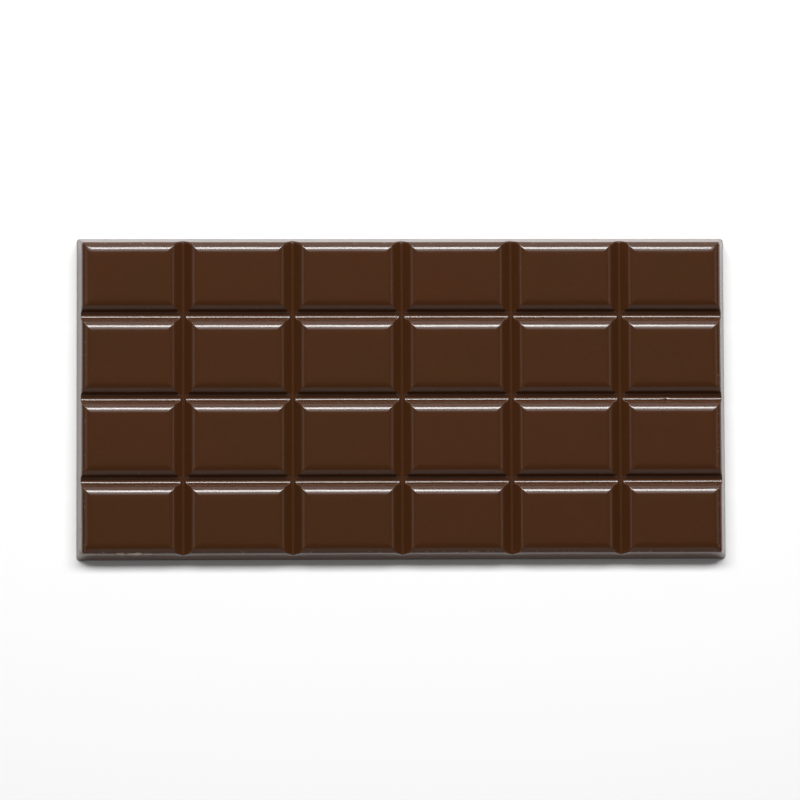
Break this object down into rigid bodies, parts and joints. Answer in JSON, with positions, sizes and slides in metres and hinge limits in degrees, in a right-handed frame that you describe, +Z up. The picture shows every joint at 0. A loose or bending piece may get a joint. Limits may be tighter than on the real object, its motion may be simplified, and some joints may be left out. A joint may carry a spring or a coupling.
{
  "type": "moulded chocolate bar",
  "caption": "Flat moulded chocolate tablet with a grid of round-edged oblong squares parted by breaking grooves.",
  "frame": {"origin": "middle of the flat back, on the surface that the bar lies on", "axes": "+X along the bar, +Y across it, +Z up out of the moulded face"},
  "size_m": [0.155, 0.0768, 0.0075],
  "materials": {
    "chocolate": "chocolate as it leaves a polished mould: smooth and glossy on the moulded face and walls, satin on the open-poured back"
  },
  "bodies": {
    "root": {"chocolate_slab": "chocolate"}
  },
  "joints": []
}
